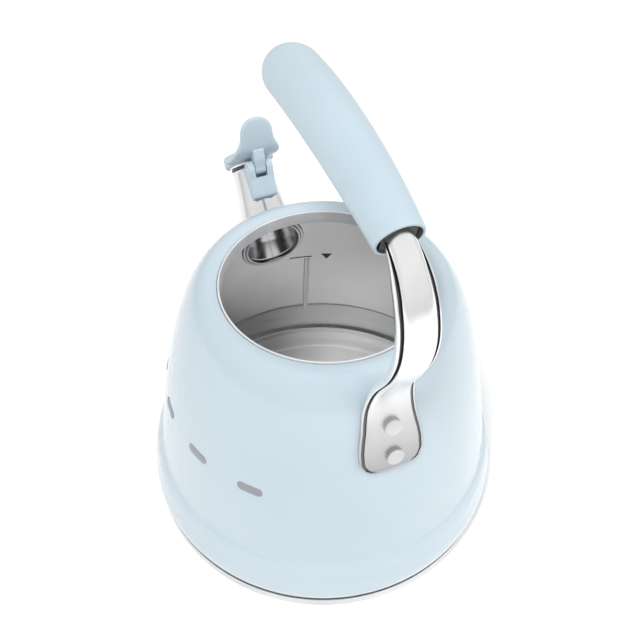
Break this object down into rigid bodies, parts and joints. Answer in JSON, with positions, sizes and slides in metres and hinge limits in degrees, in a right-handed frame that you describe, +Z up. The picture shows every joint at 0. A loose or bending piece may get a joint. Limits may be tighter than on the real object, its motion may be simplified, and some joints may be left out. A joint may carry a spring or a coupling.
{
  "type": "stovetop whistling kettle",
  "caption": "Stovetop kettle with an enamelled steel vessel, open lid mouth, conical spout with a sprung whistle cap, and a riveted steel stem carrying a cantilevered soft grip.",
  "frame": {"origin": "centre of the base, on the surface it stands on", "axes": "+Z up, +X towards the spout, -X towards the riveted foot of the handle, +Y to complete a right-handed frame"},
  "size_m": [0.2283, 0.2018, 0.2574],
  "materials": {
    "enamel": "gloss pale blue enamel",
    "soft_blue": "satin pale blue moulding",
    "polished_steel": "polished",
    "satin_steel": "satin",
    "aluminium": "plain",
    "silicone": "matt",
    "nylon": "matt",
    "mark_grey": "satin grey"
  },
  "bodies": {
    "kettle": {"body_shell": "enamel", "rim_collar": "satin_steel", "base_pan": "satin_steel", "heat_spreader": "aluminium", "base_plate": "satin_steel", "spout_tube": "polished_steel", "spout_collar": "polished_steel", "whistle_bracket": "soft_blue", "bracket_screw": "polished_steel", "hinge_pin": "polished_steel", "return_spring": "polished_steel", "handle_stem": "polished_steel", "mount_gasket": "silicone", "handle_rivets": "satin_steel", "rivet_washers": "satin_steel", "grip": "soft_blue", "grip_insert": "nylon", "grip_screw": "satin_steel", "trim_marks": "mark_grey"},
    "whistle_flap": {"whistle_cap": "soft_blue", "whistle_cup": "polished_steel", "whistle_plate": "polished_steel", "whistle_seal": "silicone"}
  },
  "joints": [
    {"name": "whistle_hinge", "type": "hinge", "parent": "kettle", "child": "whistle_flap", "pos_m": [0.09649, 0, 0.15354], "axis": [0, -1, 0], "range_deg": [0, 65], "stiffness_Nm_per_rad": 0.03, "springref_deg": -28.65, "deforming": ["return_spring"]}
  ]
}
